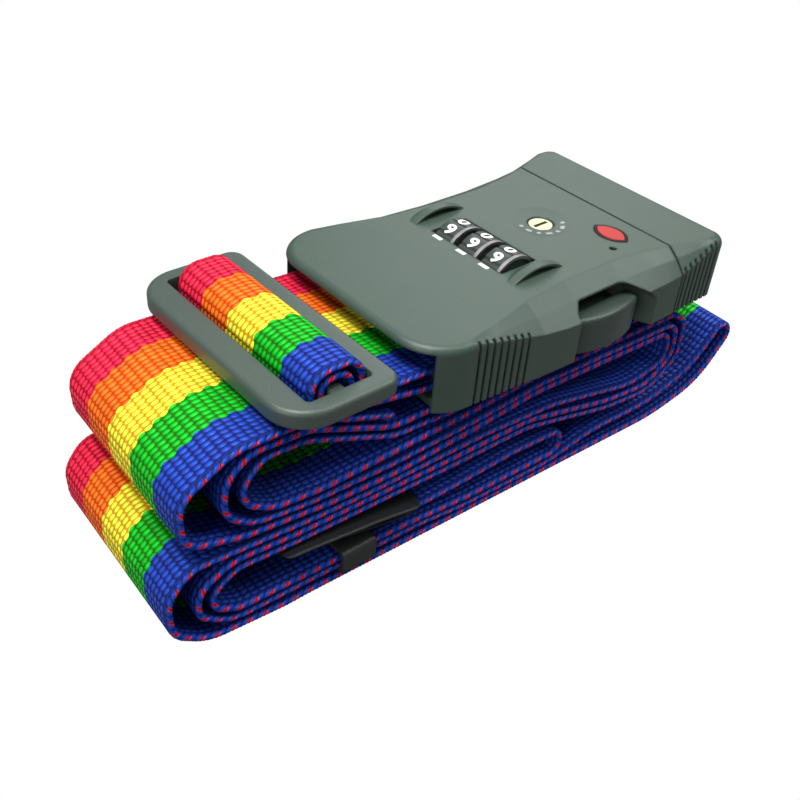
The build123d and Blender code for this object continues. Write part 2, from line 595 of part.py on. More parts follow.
def slider_frame():
    """Three-bar slider: oval frame and the bar that the webbing folds over."""
    x0, x1 = SLIDER_X
    outer = Pos((x0 + x1) / 2, 0, SLIDER_Z[0]) * extrude(slider_outline(), SLIDER_Z[1] - SLIDER_Z[0])
    outer = fillet(outer.edges().group_by(Axis.Z)[-1], SLIDER_EDGE_R[0])
    outer = fillet(outer.edges().group_by(Axis.Z)[0], SLIDER_EDGE_R[1])
    hole = block(SLIDER_WINDOW_X, (-SLIDER_WINDOW_Y, SLIDER_WINDOW_Y),
                 (SLIDER_Z[0] - 1, SLIDER_Z[1] + 1))
    hole = fillet(hole.edges().filter_by(Axis.Z), 1.2)
    bar = block(SLIDER_BAR_X, (-SLIDER_WINDOW_Y - 1, SLIDER_WINDOW_Y + 1), SLIDER_BAR_Z)
    bar = fillet(bar.edges().filter_by(Axis.Y), SLIDER_BAR_R)
    return outer - hole + bar


def slider_outline():
    """Outline of the slider with large left and small right corners."""
    half_x = (SLIDER_X[1] - SLIDER_X[0]) / 2
    face = Rectangle(2 * half_x, 2 * SLIDER_HALF)
    face = fillet(face.vertices().group_by(Axis.X)[0], SLIDER_CORNERS[0])
    return fillet(face.vertices().group_by(Axis.X)[-1], SLIDER_CORNERS[1])


def keeper():
    """Flat loop that holds the two lower layers together."""
    loop = block(KEEPER_X, (-KEEPER_HALF, KEEPER_HALF), KEEPER_Z)
    loop = fillet(loop.edges().filter_by(Axis.X), 1.2)
    wall = KEEPER_WALL
    gap = block((KEEPER_X[0] - 1, KEEPER_X[1] + 1), (wall - KEEPER_HALF, KEEPER_HALF - wall),
                (KEEPER_Z[0] + wall, KEEPER_Z[1] - wall))
    return loop - gap


def build():
    """Every piece by node name, in the working frame."""
    pieces = {"female_housing": female_housing(), "bottom_cover": bottom_cover()}
    for i, (x, y) in enumerate(SCREWS):
        pieces["cover_screw_%d" % (i + 1)] = cover_screw(x, y)
    pieces["buckle_web_pin"] = rod_y(WEB_PIN_X, WEB_PIN_Z, WEB_PIN_R, -WEB_PIN_HALF, WEB_PIN_HALF)
    for i, y in enumerate(WHEEL_YS):
        pieces["number_wheel_%d" % (i + 1)] = number_wheel(y)
        pieces["wheel_ring_%d" % (i + 1)] = wheel_ring(y)
        pieces["wheel_sleeve_%d" % (i + 1)] = wheel_sleeve(y)
    pieces["wheel_spindle"] = rod_y(WHEEL_X, WHEEL_Z, SPINDLE_R, -SPINDLE_HALF, SPINDLE_HALF)
    pieces["detent_spring"] = detent_spring()
    pieces["key_plug"] = key_plug()
    pieces["key_cam"] = key_cam()
    pieces["release_button_near"] = release_button(-1)
    pieces["release_button_far"] = release_button(1)
    pieces["indicator_frame"] = badge_frame()
    pieces["indicator_inlay"] = badge_inlay()
    pieces["reset_pin"] = reset_pin()
    pieces["plug_cap"] = plug_cap()
    pieces["plug_tongue"] = plug_tongue()
    pieces["plug_web_bar"] = rod_y(PLUG_BAR_X, PLUG_BAR_Z, PLUG_BAR_R, -PLUG_BAR_HALF, PLUG_BAR_HALF)
    pieces["slider_frame"] = slider_frame()
    pieces["keeper_loop"] = keeper()
    pieces["tag_sleeve_upper"] = band(TAG_UPPER, TAG_T, TAG_HALF)
    pieces["tag_sleeve_lower"] = band(TAG_LOWER, TAG_T, TAG_HALF)
    for name, first, last in WEB_PIECES:
        pieces[name] = band(web_route(name, first, last), WEB_T, WEB_WIDTH / 2)
    return pieces


def footprint_shift(pieces):
    """Move that puts the origin under the middle of the whole strap."""
    boxes = [piece.bounding_box() for piece in pieces.values()]
    mid_x = (min(b.min.X for b in boxes) + max(b.max.X for b in boxes)) / 2
    mid_y = (min(b.min.Y for b in boxes) + max(b.max.Y for b in boxes)) / 2
    return Pos(-mid_x, -mid_y, -min(b.min.Z for b in boxes))


def main():
    """Write one STEP per piece, centred over the strap's footprint."""
    pieces = build()
    shift = footprint_shift(pieces)
    os.makedirs("parts", exist_ok=True)
    for name, solid in pieces.items():
        export_step(shift * solid, "parts/%s.step" % name)
    print("pieces", len(pieces), "shift", shift.position)


main()
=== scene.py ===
import math

import bpy
import numpy as np
from mathutils import Matrix, Vector


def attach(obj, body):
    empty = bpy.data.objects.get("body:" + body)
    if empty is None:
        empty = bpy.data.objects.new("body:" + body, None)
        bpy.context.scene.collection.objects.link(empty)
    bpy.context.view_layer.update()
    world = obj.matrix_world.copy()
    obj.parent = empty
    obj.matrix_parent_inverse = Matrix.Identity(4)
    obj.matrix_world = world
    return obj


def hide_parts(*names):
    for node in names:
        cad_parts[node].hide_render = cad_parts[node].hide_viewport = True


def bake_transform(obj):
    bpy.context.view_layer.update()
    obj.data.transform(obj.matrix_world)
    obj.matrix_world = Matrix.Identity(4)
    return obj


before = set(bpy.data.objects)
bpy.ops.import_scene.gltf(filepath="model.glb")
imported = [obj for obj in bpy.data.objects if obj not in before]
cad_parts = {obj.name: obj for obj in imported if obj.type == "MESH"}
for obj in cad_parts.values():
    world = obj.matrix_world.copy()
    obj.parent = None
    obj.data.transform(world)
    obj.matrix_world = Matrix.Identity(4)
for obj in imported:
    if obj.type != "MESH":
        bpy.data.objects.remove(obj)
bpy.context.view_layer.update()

# Lengths are in millimetres and X is the working frame's, unless a comment says otherwise.
MM = 0.001                # one millimetre in metres
SHIFT = 4.0071            # added to the working frame's X to give the part's own X

# ------------------------------------------------------------------- webbing
WEB_WIDTH = 50.0
WEB_T = 1.62
EDGE_CAP = 0.95           # width of each rounded edge
FACE_POINTS = 25          # outline points across each face
EDGE_POINTS = 7           # outline points round each edge
EDGE_WRAP = 2.4           # weave used up in going round an edge
NEAR_WRAP_V = 51.5        # weave position under the near edge
FAR_WRAP_V = -1.5         # weave position under the far edge
BEAD_START = 23.4         # distance from the middle at which the beaded edge begins
BEAD_MEAN = 0.6           # beat of the beads at which the edge keeps its plain shape
BEAD_SWELL = 0.12         # growth of a bead in thickness, as a share
BEAD_REACH = 0.35         # growth of a bead sideways

# Lie of the wound layers: each fades out over a stretch towards the slider and buckle.
SKEW = 0.045              # shift along X per millimetre across the strap
SKEW_TOP_Z = 39.0
SKEW_LEFT_X = -62.0
LEAN = 0.034              # sideways lean per millimetre along X
LEAN_X = -60.0            # where the lean starts
LEAN_TOP_Z = 37.5
FADE_Z = 5.0
FADE_X = 15.0

# Fineness of a followed line
STRAIGHT_SHARE = 0.02     # step along a straight run, as a share of it
ARC_STEP = 0.2
ARC_POINTS_MIN = 6
LAST_RUN_POINTS = 60
RUN_TOLERANCE = 0.02      # in corner numbers, for picking out one straight run

# Where the strap is cut for the stretch that follows the plug: runs of the route, and X
PLUG_RUN_IN = 63
PLUG_RUN_OUT = 73
PLUG_CUT_X = -30.0

# Webbing centreline's corners in the X-Z plane: X, Z, bend radius.
ROUTE = [
    (-38.0, 42.1, 0.0), (-50.5, 46.8, 14.0), (-57.7, 50.6, 2.2), (-57.7, 59.2, 3.0),
    (-50.0, 59.2, 3.4), (-50.0, 49.2, 3.0), (-22.5, 44.0, 2.42), (-22.5, 49.5, 2.42),
    (-47.4, 50.7, 2.5), (-47.4, 61.4, 4.5), (-60.0, 61.4, 4.5), (-60.0, 51.0, 1.6),
    (-78.0, 51.4, 12.0), (-90.5, 44.5, 7.0), (-90.0, 32.5, 6.0), (-76.0, 28.0, 25.0),
    (-56.0, 25.5, 60.0), (-36.0, 25.3, 60.0), (-12.0, 27.7, 60.0), (6.0, 30.1, 40.0),
    (57.6, 29.8, 4.5), (57.2, 20.0, 4.0), (44.0, 17.2, 20.0), (14.0, 23.2, 30.0),
    (-8.0, 24.1, 60.0), (-45.0, 23.0, 80.0), (-60.0, 23.3, 60.0), (-89.5, 26.0, 7.0),
    (-94.6, 19.5, 7.0), (-94.3, 9.5, 8.0), (-86.0, 3.0, 14.0), (-66.0, 0.85, 40.0),
    (58.0, 0.85, 60.0), (77.0, 5.2, 22.0), (88.6, 20.2, 3.9), (81.8, 23.6, 3.4),
    (72.0, 12.0, 25.0), (55.0, 6.7, 40.0), (32.0, 6.6, 50.0), (16.0, 3.0, 40.0),
    (-14.0, 3.0, 60.0), (-28.0, 4.35, 60.0), (-60.0, 4.35, 50.0), (-80.0, 5.0, 12.0),
    (-88.0, 11.0, 5.0), (-87.5, 18.5, 6.0), (-79.0, 22.6, 12.0), (-62.0, 20.9, 40.0),
    (-20.0, 21.1, 80.0), (6.0, 21.6, 30.0), (36.0, 15.0, 40.0), (52.0, 13.9, 10.0),
    (60.6, 20.5, 6.0), (59.6, 31.9, 5.0), (8.0, 32.3, 40.0), (-14.0, 30.0, 60.0),
    (-38.0, 28.5, 60.0), (-60.0, 28.4, 40.0), (-73.5, 30.3, 12.0), (-80.8, 35.5, 7.0),
    (-80.0, 44.8, 7.0), (-74.0, 49.3, 7.0), (-60.0, 48.5, 12.0), (-37.5, 38.5, 20.0),
    (54.0, 38.6, 4.0), (57.8, 42.0, 3.0), (57.8, 46.7, 2.65), (63.2, 46.7, 2.65),
    (63.2, 42.0, 2.5), (69.8, 38.6, 1.3), (69.4, 35.5, 1.3), (44.0, 36.5, 60.0),
    (6.0, 36.45, 60.0), (-20.0, 35.5, 60.0), (-37.5, 36.1, 18.0), (-61.0, 46.2, 12.0),
    (-71.5, 46.7, 6.0), (-76.3, 41.5, 5.5), (-75.8, 36.2, 5.2), (-68.5, 31.9, 8.0),
    (-57.0, 30.7, 40.0), (-28.0, 32.6, 80.0), (4.0, 34.4, 60.0), (62.6, 33.9, 5.5),
    (63.0, 19.0, 7.0), (53.0, 11.6, 12.0), (36.0, 12.8, 40.0), (6.0, 19.4, 30.0),
    (-20.0, 18.9, 80.0), (-62.0, 18.7, 40.0), (-78.5, 20.0, 7.0), (-85.0, 15.5, 4.2),
    (-83.8, 10.8, 4.2), (-78.0, 7.5, 8.0), (-60.0, 6.55, 40.0), (-34.0, 6.55, 60.0),
    (-12.0, 5.2, 60.0), (20.2, 5.5, 3.1), (18.6, 12.6, 2.8), (2.0, 13.0, 40.0),
    (-14.0, 11.7, 60.0), (-30.0, 10.9, 20.0), (-41.0, 12.9, 0.0)]

# --------------------------------------------------------------- tag sleeve
TAG_UPPER = [(-29.0, 12.75, 0.0), (-42.0, 14.9, 30.0), (-68.0, 17.4, 0.0)]
TAG_LOWER = [(-29.0, 9.4, 0.0), (-41.0, 11.1, 30.0), (-68.0, 16.6, 0.0)]
TAG_ASIDE_UPPER = 3.0     # how far each sheet lies towards the near side
TAG_ASIDE_LOWER = 0.8
TAG_HALF = 24.0           # half width
TAG_COLUMNS = 49          # points across
TAG_STEP = 0.5            # step along
TAG_CORNER = 2.5          # corner radius
TAG_SWELL = 0.22          # half thickness of the open sheet
RIM_SWELL = 0.16          # half thickness near the rim
RIM = 2.0                 # width of the rim
WELD_SWELL = 0.10         # half thickness of the weld line in the rim
WELD = (0.9, 1.6)         # weld line's distance from the edge, from and to
WRINKLE = 0.25            # height of the wrinkles
WRINKLE_ACROSS = (0.21, 1.3)    # radians per millimetre across, and at the middle
WRINKLE_ALONG = (0.05, 0.4)     # radians per step along, and at the start

# ------------------------------------------------------------ wheels and print
TOP_Z = 57.5              # housing's top
PRINT_LIFT = 0.03         # height of print above the surface under it
WHEEL_X, WHEEL_Z, WHEEL_R = 9.5, 52.2, 7.5
# Each wheel's Y and its body
WHEEL_ROWS = [(8.25, "wheel_far"), (0.0, "wheel_middle"), (-8.25, "wheel_near")]
DIGIT_LIFT = 0.035        # height of a digit above its wheel
DIGIT_SIZE = 4.5
DIGIT_BOLD = 0.13         # thickening of a digit's outline
DIGIT_RESOLUTION = 3      # fineness of a digit's curves
DIGIT_STRETCH = 1.30      # widening of a digit along the spindle
DIGIT_ASIDE = 0.25        # shift of the digits along the spindle
DIGIT_PITCH = 36          # degrees from digit to digit
DIGIT_START = 11          # degrees from the top to the nought, towards the plug
INDEX_YS = (9.0, 0.5, -7.5)     # middles of the dashes beside the wheels
INDEX_X = (2.10, 3.25)
INDEX_HALF = 1.5          # half length of a dash
KEY_X, KEY_Y = 30.8, 0.6
DISH_DEPTH = 0.6
DISH_R = 8.0
KEY_MARK_R = (5.2, 6.3)   # inner and outer radius of the dashes round the key
KEY_MARKS = 7
KEY_MARK_START = 165      # degrees
KEY_MARK_PITCH = 27       # degrees
KEY_MARK_HALVES = (5.0, 8.5)    # half length of even and odd dashes, in degrees
KEY_MARK_STEPS = 5        # faces along each dash

# ---------------------------------------------------- studio, in metres and watts
STRAP_MIDDLE = (0.0, 0.0, 0.03)
PLUG_TOP = (0.05, 0.0, 0.055)
# Each light's name, place, side length, power and the point it faces
LIGHTS = [("key_light", (-0.20, 0.02, 0.85), 0.45, 10.0, STRAP_MIDDLE),
          ("fill_light", (-0.75, -0.18, 0.35), 0.5, 2.8, STRAP_MIDDLE),
          ("rim_light", (0.40, 0.32, 0.38), 0.35, 0.85, PLUG_TOP),
          ("shoulder_light", (0.45, -0.28, 0.65), 0.4, 3.3, STRAP_MIDDLE)]
WORLD_LIGHT = 0.14        # strength of the surroundings as a light
WORLD_SEEN = 1.0          # strength of the surroundings as seen by the camera
FLOOR_HALF = 3.0
SENSOR_MM = 36.0
LENS_MM = 45.95
CLIP_START = 0.01
CAMERA_PLACE = ((-154.0 + SHIFT) * MM, -151.6 * MM, 179.3 * MM)
CAMERA_RIGHT = (0.7660, -0.6395, 0.0659)
CAMERA_BACK = (-0.5375, -0.5807, 0.6114)


# ------------------------------------------------------------ node shorthand
class Nodes:
    """Short calls for building a shader out of math nodes."""

    def __init__(self, name):
        self.mat = bpy.data.materials.new(name)
        self.mat.use_nodes = True
        self.tree = self.mat.node_tree
        self.tree.nodes.clear()
        self.bsdf = self.new("ShaderNodeBsdfPrincipled")
        out = self.new("ShaderNodeOutputMaterial")
        self.link(self.bsdf.outputs[0], out.inputs["Surface"])

    def new(self, kind, **props):
        node = self.tree.nodes.new(kind)
        for key, value in props.items():
            setattr(node, key, value)
        return node

    def link(self, a, b):
        self.tree.links.new(a, b)

    def put(self, socket, value):
        """Gives a socket a plain value, or another node's output."""
        if isinstance(value, bpy.types.NodeSocket):
            self.link(value, socket)
        else:
            socket.default_value = value

    def math(self, op, a, b=0.0, clamp=False):
        node = self.new("ShaderNodeMath", operation=op, use_clamp=clamp)
        for socket, value in zip(node.inputs, (a, b)):
            self.put(socket, value)
        return node.outputs[0]

    def line(self, value, base, gain):
        """Straight-line function of a value: base plus gain times the value."""
        return self.math("ADD", base, self.math("MULTIPLY", value, gain))

    def phase(self, value, period):
        """Place of a value within its own repeat, from -0.5 to 0.5."""
        return self.math("SUBTRACT", self.math("FRACT", self.math("DIVIDE", value, period)), 0.5)

    def smooth(self, value, low, high):
        """Soft step from nought at low to one at high."""
        node = self.new("ShaderNodeMapRange", interpolation_type="SMOOTHSTEP")
        for key, v in (("Value", value), ("From Min", low), ("From Max", high)):
            self.put(node.inputs[key], v)
        return node.outputs["Result"]

    def mix(self, factor, a, b, mode="MIX"):
        node = self.new("ShaderNodeMix", data_type="RGBA", blend_type=mode)
        self.put(node.inputs[0], factor)
        for socket, value in ((node.inputs[6], a), (node.inputs[7], b)):
            if not isinstance(value, bpy.types.NodeSocket):
                value = (*value, 1.0)
            self.put(socket, value)
        return node.outputs[2]

    def place(self):
        """Place on the object, in metres."""
        return self.new("ShaderNodeTexCoord").outputs["Object"]

    def noise(self, scale, detail=3.0, vector=None, rough=0.5):
        node = self.new("ShaderNodeTexNoise")
        node.inputs["Scale"].default_value = scale
        node.inputs["Detail"].default_value = detail
        node.inputs["Roughness"].default_value = rough
        if vector is None:
            vector = self.place()
        self.link(vector, node.inputs["Vector"])
        return node.outputs["Fac"]

    def rounded(self, radius):
        """Normal that rounds the mesh's edges, by a radius in metres."""
        node = self.new("ShaderNodeBevel", samples=4)
        node.inputs["Radius"].default_value = radius
        return node.outputs[0]

    def bump(self, height, distance, strength=1.0, normal=None):
        """Relief of the finish, its distance in metres."""
        node = self.new("ShaderNodeBump")
        node.inputs["Strength"].default_value = strength
        node.inputs["Distance"].default_value = distance
        self.link(height, node.inputs["Height"])
        if normal is not None:
            self.link(normal, node.inputs["Normal"])
        self.link(node.outputs[0], self.bsdf.inputs["Normal"])

    def set(self, **values):
        """Values for the shader's own sockets, with _ for a space in their names."""
        for key, value in values.items():
            self.put(self.bsdf.inputs[key.replace("_", " ")], value)


# ---------------------------------------------------------------- materials
# Colours of the five stripes from the far edge to the near edge, and of the gaps between yarns:
# the weft's own colour darkened by painted shade
STRIPES = [(0.90, 0.016, 0.062), (1.0, 0.165, 0.008), (0.93, 0.86, 0.045),
           (0.0, 0.46, 0.012), (0.009, 0.050, 0.41)]
WEFT_AND_SHADE_GAPS = [(0.24, 0.002, 0.012), (0.58, 0.014, 0.002), (0.84, 0.10, 0.004),
        (0.050, 0.026, 0.004), (0.024, 0.004, 0.055)]
STRIPE = 10.0             # width of a stripe
STRIPE_STEP = 0.45        # how far a stripe's edge steps in and out
ROW = 2.05                # weave repeat along the strap
COLUMN = WEB_WIDTH / 36   # weave repeat across the strap
YARN_SLANT = 0.22         # sideways drift of each yarn over one repeat, in columns
YARN = (0.48, 0.52)       # half size of a yarn's oval, in columns and rows
YARN_DOME = 0.75          # power that rounds a yarn's top
GAP = (1.0, 1.50)         # where the gaps' weft colour and painted shade begin and are full, in the oval's terms
GAP_DEPTH = 0.85
FIBRE_SCALE = 2600.0
FIBRE = 0.12              # height of the fibres beside the yarns' own
WEAVE_DEPTH = 0.36 * MM   # metres

# Base and gain over a yarn, from its rim to its top, or over chance from 0 to 1 in YARN_VARY;
# YARN_SHADE is painted shade that darkens each yarn's rim and lightens its top
YARN_SHADE = (0.44, 0.70)
YARN_VARY = (0.84, 0.32)
YARN_ROUGH = (0.80, -0.36)
YARN_GLOSS = (0.05, 0.32)

# Beaded cord along each edge
NEAR_CORD, FAR_CORD = 50.1, -0.1     # weave position of each cord's middle
NEAR_FLECK = (0.82, 0.020, 0.045)
FAR_FLECK = (0.60, 0.006, 0.03)
CORD_HALF = 1.25
CORD_SLANT = 0.9
CORD_BEAD = (0.52, 1.5)   # half size of a bead, in repeats and millimetres
CORD_DAB = (0.185, 0.80)  # half size of a fleck, in pairs of beads and millimetres
CORD_SHADE = (0.14, 0.98) # painted shade: base and gain over a bead, from its rim to its top
DAB_RIM = (0.70, 1.0)     # where a fleck begins to fade and has gone, in the oval's terms

GRAIN_SCALE = 2600.0      # plastic's spark-eroded grain
MARKS_SCALE = 60.0        # plastic's handling marks
PLASTIC_TONE = (0.90, 0.10)     # base and gain of the plastic's brightness
PLASTIC_MARKS = 0.12      # spread of roughness that the handling marks give
METAL_SCALE = 4200.0      # metal's turning marks
METAL_DEPTH = 0.01 * MM   # metres
RIB = 0.7 * MM            # elastic's ribs, in metres

# Radius by which each finish rounds its edges, in metres
PLASTIC_EDGE = 0.7 * MM
METAL_EDGE = 0.12 * MM
ELASTIC_EDGE = 0.5 * MM


def stripe_colour(n, place, colours):
    """Five equal stripes across the strap."""
    colour = colours[0]
    for i in range(1, len(colours)):
        colour = n.mix(n.math("GREATER_THAN", place, STRIPE * i), colour, colours[i])
    return colour


def ellipse(n, a, b, halves):
    """Squared distance from the middle of an ellipse, one at its rim."""
    a2, b2 = (n.math("POWER", n.math("ABSOLUTE", n.math("DIVIDE", value, half)), 2.0)
              for value, half in zip((a, b), halves))
    return n.math("ADD", a2, b2)


def grey(n, value):
    """Colour with the same value in each channel."""
    node = n.new("ShaderNodeCombineColor")
    for i in range(3):
        n.link(value, node.inputs[i])
    return node.outputs[0]


def selvedge(n, u, v, middle, ply, fleck):
    """Colour, height and mask of one beaded edge cord with a fleck on every second bead."""
    off = n.math("SUBTRACT", v, middle)
    slant = n.line(off, u, CORD_SLANT)
    away = ellipse(n, n.phase(slant, 2 * ROW), off, CORD_DAB)
    dab = n.math("SUBTRACT", 1.0, n.smooth(away, *DAB_RIM))
    bead = n.math("SUBTRACT", 1.0, ellipse(n, n.phase(slant, ROW), off, CORD_BEAD))
    height = n.math("SQRT", n.math("MAXIMUM", bead, 0.0))
    # painted shade: each bead is darkest at its rim and lightest at its top
    shade = grey(n, n.line(height, *CORD_SHADE))
    colour = n.mix(1.0, n.mix(dab, ply, fleck), shade, "MULTIPLY")
    mask = n.math("LESS_THAN", n.math("ABSOLUTE", off), CORD_HALF)
    return colour, height, mask


def webbing_material():
    """Striped weave laid out by the UV map: U is along and V across, both in millimetres."""
    n = Nodes("rainbow_webbing")
    uv = n.new("ShaderNodeUVMap", uv_map="weave")
    split = n.new("ShaderNodeSeparateXYZ")
    n.link(uv.outputs[0], split.inputs[0])
    u, v = split.outputs[0], split.outputs[1]

    # yarns, leaning a little to one side of the strap's length
    along = n.phase(u, ROW)
    column = n.line(along, n.math("DIVIDE", v, COLUMN), YARN_SLANT)
    across = n.math("SUBTRACT", n.math("FRACT", column), 0.5)
    away = ellipse(n, across, along, YARN)
    dome = n.math("POWER", n.math("SUBTRACT", 1.0, away, clamp=True), YARN_DOME)

    # stripe edges step in and out with every second row
    wave = n.math("SINE", n.math("MULTIPLY", u, math.pi / ROW))
    place = n.line(wave, v, STRIPE_STEP)
    colour = stripe_colour(n, place, STRIPES)

    # each yarn is a little lighter or darker than the next at random, and painted shade darkens
    # it at its rim
    cell = n.new("ShaderNodeCombineXYZ")
    n.link(n.math("FLOOR", n.math("DIVIDE", u, ROW)), cell.inputs[0])
    n.link(n.math("FLOOR", column), cell.inputs[1])
    white = n.new("ShaderNodeTexWhiteNoise", noise_dimensions="3D")
    n.link(cell.outputs[0], white.inputs["Vector"])
    vary = n.line(white.outputs["Value"], *YARN_VARY)
    shade = n.math("MULTIPLY", n.line(dome, *YARN_SHADE), vary)
    colour = n.mix(1.0, colour, grey(n, shade), "MULTIPLY")
    # painted shade, with the weft's own colour, fills the gaps between yarns
    gap_weft_and_shade = n.math("MULTIPLY", n.smooth(away, *GAP), GAP_DEPTH)
    colour = n.mix(gap_weft_and_shade, colour, stripe_colour(n, place, WEFT_AND_SHADE_GAPS))

    near_cord, near_height, near = selvedge(n, u, v, NEAR_CORD, STRIPES[-1], NEAR_FLECK)
    far_cord, far_height, far = selvedge(n, u, v, FAR_CORD, STRIPES[0], FAR_FLECK)
    colour = n.mix(near, colour, near_cord)
    colour = n.mix(far, colour, far_cord)

    body = n.math("MULTIPLY", dome, n.math("SUBTRACT", 1.0, n.math("ADD", near, far)))
    near_edge = n.math("MULTIPLY", near_height, near)
    far_edge = n.math("MULTIPLY", far_height, far)
    height = n.math("ADD", body, n.math("ADD", near_edge, far_edge))
    n.bump(n.line(n.noise(FIBRE_SCALE, 2.0), height, FIBRE), WEAVE_DEPTH)
    n.set(Base_Color=colour, Roughness=n.line(dome, *YARN_ROUGH),
          Specular_IOR_Level=n.line(dome, *YARN_GLOSS))
    return n.mat


def plastic_material(name, colour, rough, grain=0.00006, spec=0.5):
    """Moulded plastic with a fine spark-eroded grain and faint handling marks."""
    n = Nodes(name)
    fine = n.noise(GRAIN_SCALE, 4.0, rough=0.6)
    broad = n.noise(MARKS_SCALE)
    tone = grey(n, n.line(n.math("ADD", fine, broad), *PLASTIC_TONE))
    n.set(Base_Color=n.mix(1.0, colour, tone, "MULTIPLY"),
          Roughness=n.line(broad, rough - PLASTIC_MARKS / 2, PLASTIC_MARKS),
          Specular_IOR_Level=spec)
    n.bump(fine, grain, 0.8, n.rounded(PLASTIC_EDGE))
    return n.mat


def metal_material(name, colour, rough):
    """Metal with fine turning marks."""
    n = Nodes(name)
    squeeze = n.new("ShaderNodeMapping")
    squeeze.inputs["Scale"].default_value = (1.0, 0.15, 1.0)
    n.link(n.place(), squeeze.inputs["Vector"])
    lines = n.noise(METAL_SCALE, 2.0, squeeze.outputs[0])
    darker = tuple(c * 0.7 for c in colour)
    n.set(Base_Color=n.mix(n.math("MULTIPLY", lines, 0.25), colour, darker),
          Metallic=1.0, Roughness=n.line(lines, rough, 0.1))
    n.bump(lines, METAL_DEPTH, 0.5, n.rounded(METAL_EDGE))
    return n.mat


def vinyl_material():
    """Soft black vinyl, slightly creased."""
    n = Nodes("black_vinyl")
    creases = n.noise(120.0, 5.0)
    fine = n.noise(1500.0)
    n.set(Base_Color=n.mix(fine, (0.007, 0.008, 0.008), (0.014, 0.015, 0.016)),
          Roughness=n.line(fine, 0.42, 0.16), Specular_IOR_Level=0.30)
    n.bump(n.line(fine, creases, 0.12), 0.6 * MM, 0.5)
    return n.mat


def elastic_material():
    """Close-knit black elastic with a faint rib along its edges."""
    n = Nodes("keeper_elastic")
    split = n.new("ShaderNodeSeparateXYZ")
    n.link(n.place(), split.inputs[0])
    wave = n.math("SINE", n.math("MULTIPLY", split.outputs[0], math.pi / RIB))
    ribs = n.math("MULTIPLY", n.math("ABSOLUTE", wave), 0.5)
    knit = n.noise(2400.0)
    n.set(Base_Color=n.mix(knit, (0.010, 0.013, 0.012), (0.028, 0.034, 0.031)), Roughness=0.50)
    n.bump(n.line(knit, ribs, 0.6), 0.06 * MM, 0.7, n.rounded(ELASTIC_EDGE))
    return n.mat


def print_material(name, level):
    """Pale pad-printed ink."""
    n = Nodes(name)
    speck = n.noise(2200.0)
    worn = (0.88 * level, 0.90 * level, 0.90 * level)
    n.set(Base_Color=n.mix(speck, worn, (level, level, level)), Roughness=0.45)
    n.bump(speck, 0.01 * MM, 0.5)
    return n.mat


def red_lens_material():
    """Glossy red insert with a slight mottling under the surface."""
    n = Nodes("red_lens")
    mottle = n.noise(500.0, 4.0)
    n.set(Base_Color=n.mix(mottle, (0.30, 0.010, 0.008), (0.40, 0.020, 0.016)),
          Roughness=0.42, Specular_IOR_Level=0.30)
    n.bump(mottle, 0.02 * MM, 0.4)
    return n.mat


def floor_material():
    """White sweep that reads as pure white and gives only a little light back."""
    n = Nodes("studio_floor")
    soft = n.noise(3.0, 2.0)
    n.set(Base_Color=n.mix(soft, (0.13, 0.13, 0.13), (0.16, 0.16, 0.16)), Roughness=0.9)
    glow = n.new("ShaderNodeEmission")
    glow.inputs["Strength"].default_value = 1.0
    path = n.new("ShaderNodeLightPath")
    both = n.new("ShaderNodeMixShader")
    n.link(path.outputs["Is Camera Ray"], both.inputs[0])
    n.link(n.bsdf.outputs[0], both.inputs[1])
    n.link(glow.outputs[0], both.inputs[2])
    n.link(both.outputs[0], n.tree.nodes["Material Output"].inputs["Surface"])
    return n.mat


WEBBING = webbing_material()
HOUSING = plastic_material("buckle_plastic", (0.038, 0.065, 0.050), 0.42)
BUTTON = plastic_material("button_plastic", (0.026, 0.042, 0.034), 0.38, 0.00004)
SLIDER = plastic_material("slider_plastic", (0.050, 0.072, 0.061), 0.38)
WHEELS = plastic_material("wheel_plastic", (0.036, 0.046, 0.041), 0.34, 0.00001)
BLACK = plastic_material("black_plastic", (0.004, 0.005, 0.005), 0.50, 0.00001, 0.25)
STEEL = metal_material("steel", (0.62, 0.63, 0.65), 0.28)
CHROME = metal_material("bright_trim", (0.34, 0.33, 0.34), 0.45)
BRASS = metal_material("key_brass", (0.62, 0.63, 0.44), 0.34)
VINYL = vinyl_material()
ELASTIC = elastic_material()
INK = print_material("white_print", 0.80)
GREY_INK = print_material("grey_print", 0.30)
RED = red_lens_material()


# Finish of each CAD node by name, then by how its name starts. The rest are steel.
FINISH = {"female_housing": HOUSING, "plug_cap": HOUSING, "plug_tongue": HOUSING,
          "bottom_cover": HOUSING, "slider_frame": SLIDER, "release_button_near": BUTTON,
          "release_button_far": BUTTON, "indicator_frame": BLACK, "reset_pin": BLACK,
          "indicator_inlay": RED, "key_plug": BRASS, "key_cam": BRASS, "keeper_loop": ELASTIC}
FAMILY_FINISH = {"number_wheel": WHEELS, "wheel_sleeve": WHEELS, "wheel_ring": CHROME,
                 "webbing": WEBBING, "tag": VINYL}


def dress_cad():
    """Gives each CAD node its finished material."""
    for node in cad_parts:
        mat = FINISH.get(node, STEEL)
        for start, family_mat in FAMILY_FINISH.items():
            if node.startswith(start):
                mat = family_mat
        for entry in bpy.data.objects[node].material_slots:
            entry.material = mat


# ------------------------------------------------------------------ meshes
def add_object(name, data):
    """New object in the scene for a mesh, curve, light or camera."""
    obj = bpy.data.objects.new(name, data)
    bpy.context.scene.collection.objects.link(obj)
    return obj


def add_mesh(name, points, faces, material, smooth=True):
    """New object from millimetre points in the working frame."""
    mesh = bpy.data.meshes.new(name)
    co = np.array(points, float)
    co[:, 0] += SHIFT
    mesh.from_pydata((co * MM).tolist(), [], faces)
    mesh.materials.append(material)
    mesh.polygons.foreach_set("use_smooth", [smooth] * len(mesh.polygons))
    mesh.update()
    return add_object(name, mesh)


def clamp(value):
    """Value held between nought and one."""
    return min(max(value, 0.0), 1.0)


def unit(vector):
    """Vector made one long."""
    return vector / np.linalg.norm(vector)


